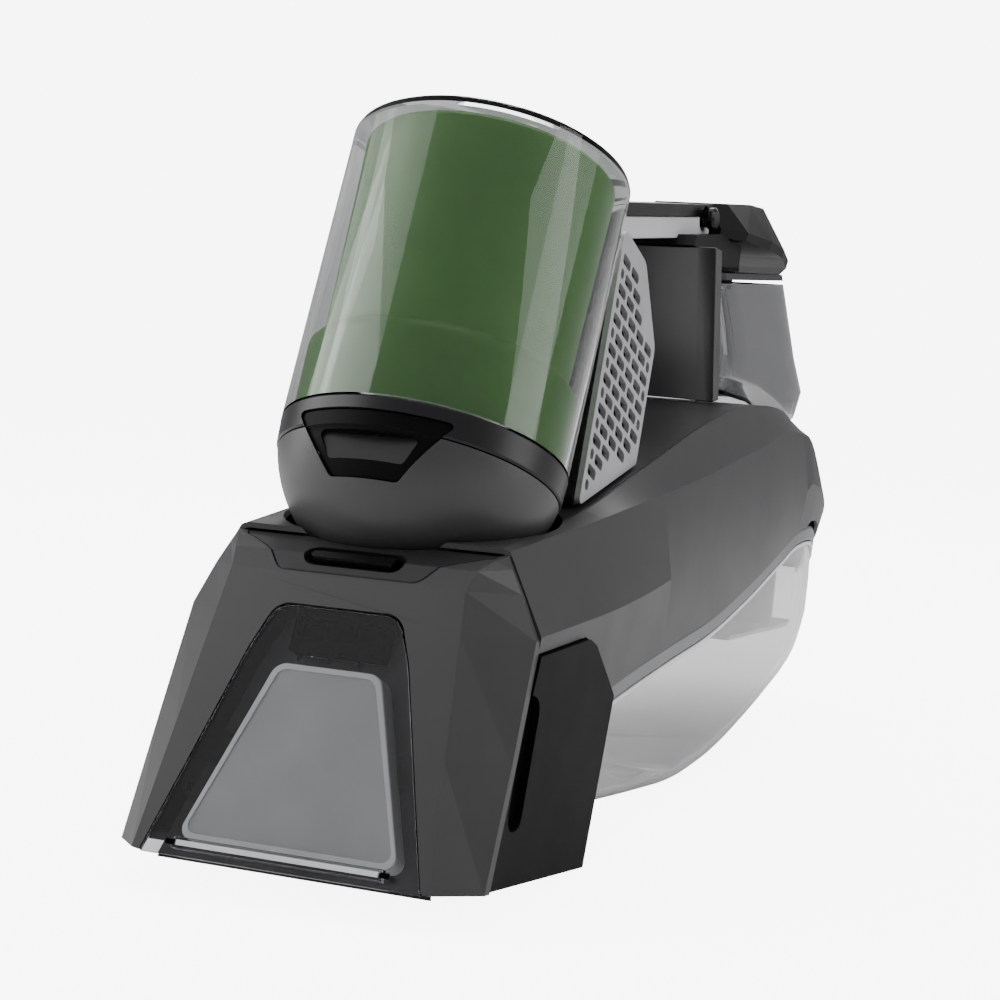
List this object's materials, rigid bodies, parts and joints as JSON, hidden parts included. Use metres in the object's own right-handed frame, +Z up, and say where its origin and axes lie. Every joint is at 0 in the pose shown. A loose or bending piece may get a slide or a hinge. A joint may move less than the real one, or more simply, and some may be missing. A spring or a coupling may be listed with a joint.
{
  "type": "carpet cleaner machine",
  "caption": "Handheld wet carpet cleaner with a powered brush head, clear front cover, leaning motor pod, bar handle with trigger, and removable clean and dirty water tanks.",
  "frame": {"origin": "on the floor, under the centre of the whole machine, as it stands parked on its dirty-water tank's foot and the rear edge of the brush head", "axes": "+X to the right of someone behind the handle, +Y to the rear, +Z up; the front is at -Y"},
  "size_m": [0.102, 0.3996, 0.2067],
  "materials": {
    "black_plastic": "satin",
    "board": "matte",
    "bristle": "matte",
    "cell_blue": "satin",
    "clear": "gloss",
    "deck_grey": "satin",
    "dome_grey": "satin",
    "gloss_black": "gloss",
    "green": "satin",
    "light_grey": "satin",
    "panel_black": "matte",
    "rubber": "matte",
    "shell_grey": "satin",
    "silver": "satin",
    "steel": "brushed"
  },
  "bodies": {
    "machine": {"air_duct": "black_plastic", "battery_pack": "cell_blue", "body_deck": "deck_grey", "body_shell_left": "shell_grey", "body_shell_right": "shell_grey", "brush_bearing_left": "steel", "brush_bearing_right": "steel", "brush_chamber": "black_plastic", "brush_motor": "steel", "charge_socket": "black_plastic", "control_board": "board", "drive_belt": "rubber", "duct_plate": "light_grey", "exhaust_grille_left": "silver", "exhaust_grille_right": "silver", "fan_motor": "steel", "handle_grip": "light_grey", "handle_top": "gloss_black", "latch_panel": "deck_grey", "latch_tray": "black_plastic", "neck_housing": "black_plastic", "nozzle_shell": "shell_grey", "pod_clear_cover": "clear", "pod_dome": "dome_grey", "pod_green_housing": "green", "pod_trim_ring": "deck_grey", "port_bezel": "panel_black", "rear_cap": "gloss_black", "rear_column": "deck_grey", "side_panel_left": "panel_black", "side_panel_right": "panel_black", "sole_plate": "black_plastic", "sole_screw_left": "steel", "sole_screw_right": "steel", "spray_hose": "rubber", "spray_tip": "black_plastic", "suction_duct": "black_plastic", "suction_mouth": "black_plastic", "trigger_pin": "steel", "water_pump": "steel"},
    "brush": {"brush_roll": "black_plastic", "brush_bristles": "bristle"},
    "pinion": {"motor_pulley": "black_plastic"},
    "fan": {"fan_impeller": "light_grey"},
    "front_window": {"nozzle_window": "clear"},
    "window_latch": {"latch_bar": "gloss_black"},
    "trigger_lever": {"trigger": "panel_black"},
    "power_key": {"power_button": "silver"},
    "brush_key": {"brush_button": "silver"},
    "clean_tank_release": {"tank_release_button": "gloss_black"},
    "dirty_tank_latch": {"tank_latch": "black_plastic"},
    "dirty_tank_unit": {"dirty_tank": "clear", "tank_lid": "light_grey", "tank_inlet": "black_plastic", "float_cage": "light_grey", "tank_feet": "rubber"},
    "float": {"tank_float": "black_plastic"},
    "clean_tank_unit": {"clean_tank": "clear", "clean_tank_lid": "light_grey"},
    "filler_plug": {"fill_plug": "rubber"}
  },
  "joints": [
    {"name": "brush_spin", "type": "hinge", "parent": "machine", "child": "brush", "pos_m": [0, -0.15771, 0.02416], "axis": [1, 0, 0], "continuous": true},
    {"name": "pinion_spin", "type": "hinge", "parent": "machine", "child": "pinion", "pos_m": [-0.044, -0.12058, 0.03201], "axis": [1, 0, 0], "continuous": true},
    {"name": "fan_spin", "type": "hinge", "parent": "machine", "child": "fan", "pos_m": [0, -0.12176, 0.11005], "axis": [0, 0.4147, 0.91], "continuous": true},
    {"name": "window_hinge", "type": "hinge", "parent": "machine", "child": "front_window", "pos_m": [0, -0.19797, 0.01243], "axis": [1, 0, 0], "range_deg": [0, 24]},
    {"name": "window_latch_slide", "type": "slide", "parent": "machine", "child": "window_latch", "axis": [0, 0.8704, 0.4924], "range_m": [0, 0.002], "stiffness_N_per_m": 300, "springref_m": -0.001},
    {"name": "trigger_pivot", "type": "hinge", "parent": "machine", "child": "trigger_lever", "pos_m": [0, -0.03049, 0.16912], "axis": [1, 0, 0], "range_deg": [0, 10], "stiffness_Nm_per_rad": 0.3, "springref_deg": -2.86},
    {"name": "power_key_press", "type": "slide", "parent": "machine", "child": "power_key", "axis": [0, 0.0432, -0.9991], "range_m": [0, 0.0012], "stiffness_N_per_m": 500, "springref_m": -0.001},
    {"name": "brush_key_press", "type": "slide", "parent": "machine", "child": "brush_key", "axis": [0, 0.0432, -0.9991], "range_m": [0, 0.0012], "stiffness_N_per_m": 500, "springref_m": -0.001},
    {"name": "clean_tank_release_press", "type": "slide", "parent": "machine", "child": "clean_tank_release", "axis": [-1, 0, 0], "range_m": [0, 0.0012], "stiffness_N_per_m": 500, "springref_m": -0.001},
    {"name": "dirty_tank_latch_press", "type": "slide", "parent": "machine", "child": "dirty_tank_latch", "axis": [0, -0.9936, 0.1132], "range_m": [0, 0.002], "stiffness_N_per_m": 500, "springref_m": -0.001},
    {"name": "dirty_tank_drop", "type": "slide", "parent": "machine", "child": "dirty_tank_unit", "axis": [0, 0.1259, -0.992], "range_m": [0, 0.04]},
    {"name": "float_rise", "type": "slide", "parent": "dirty_tank_unit", "child": "float", "axis": [0, 0.1132, 0.9936], "range_m": [0, 0.009]},
    {"name": "clean_tank_pull", "type": "slide", "parent": "machine", "child": "clean_tank_unit", "axis": [0, 0.9914, -0.1305], "range_m": [0, 0.06]},
    {"name": "filler_plug_lift", "type": "slide", "parent": "clean_tank_unit", "child": "filler_plug", "axis": [0, -0.0175, 0.9998], "range_m": [0, 0.003]}
  ],
  "couplings": [
    {"joint": "pinion_spin", "follows": "brush_spin", "ratio": 1.6538}
  ]
}
